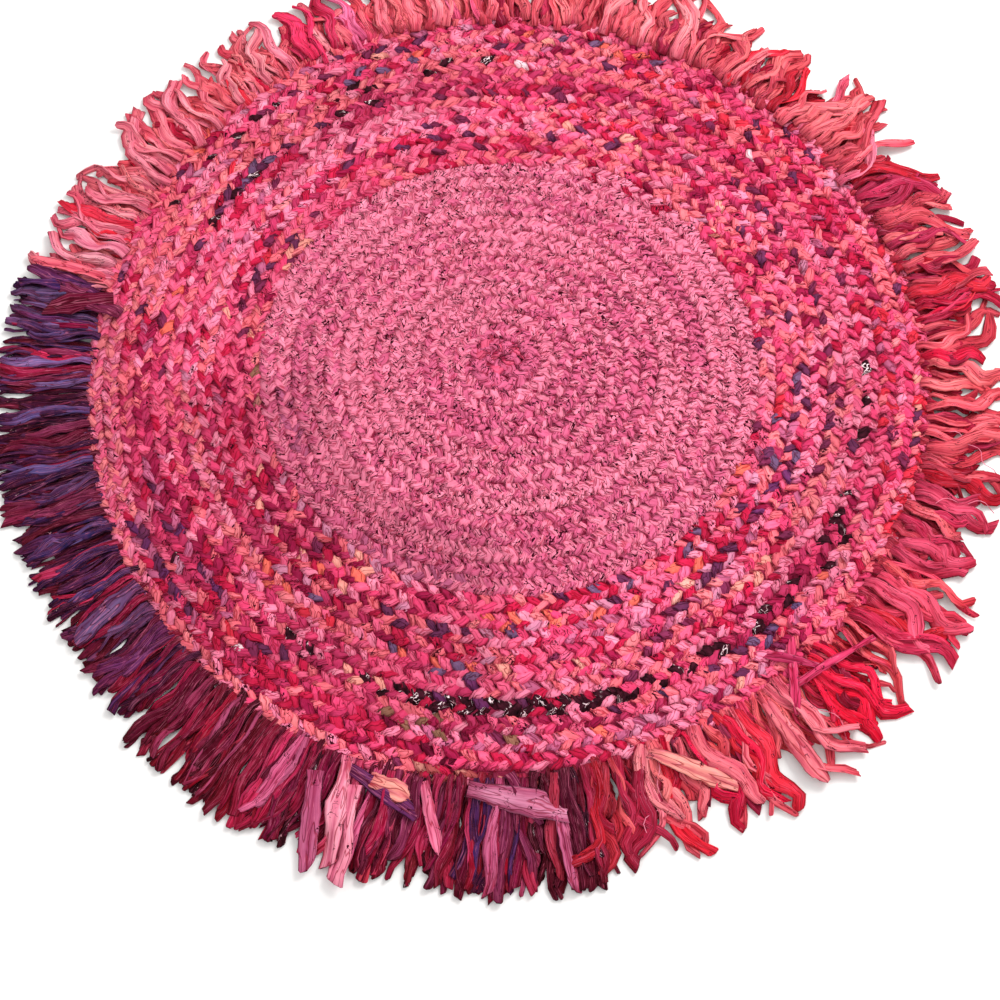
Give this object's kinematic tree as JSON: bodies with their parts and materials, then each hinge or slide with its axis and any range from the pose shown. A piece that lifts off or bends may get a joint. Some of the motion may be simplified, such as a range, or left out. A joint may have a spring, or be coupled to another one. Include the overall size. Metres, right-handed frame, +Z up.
{
  "type": "round braided rag rug",
  "caption": "Round braided rag rug: a spiral-wound braid with a pale rose centre, a mixed pink, red and navy border and a fringe of cut cloth strips. It lies flat on a floor.",
  "frame": {"origin": "middle of the rug's flat underside, on the floor", "axes": "+Z up, out of the rug's face; +X to the right and +Y away from the viewer of the picture"},
  "size_m": [1.4296, 1.4675, 0.012],
  "materials": {
    "centre_braid": "matt woven cotton rag, printed",
    "border_braid": "matt to softly shiny woven rag, many colours",
    "fringe_warm": "creased cut cloth strips, raw edges",
    "fringe_coral": "creased cut cloth strips, raw edges",
    "fringe_dark": "creased cut cloth strips, raw edges"
  },
  "bodies": {
    "root": {"centre_coil": "centre_braid", "border_coil": "border_braid", "fringe_scarlet": "fringe_warm", "fringe_cherry": "fringe_warm", "fringe_ruby": "fringe_warm", "fringe_tan": "fringe_warm", "fringe_crimson": "fringe_warm", "fringe_coral": "fringe_coral", "fringe_salmon": "fringe_coral", "fringe_navy": "fringe_dark", "fringe_lilac": "fringe_dark", "fringe_burgundy": "fringe_dark", "fringe_plum": "fringe_dark"}
  },
  "joints": []
}
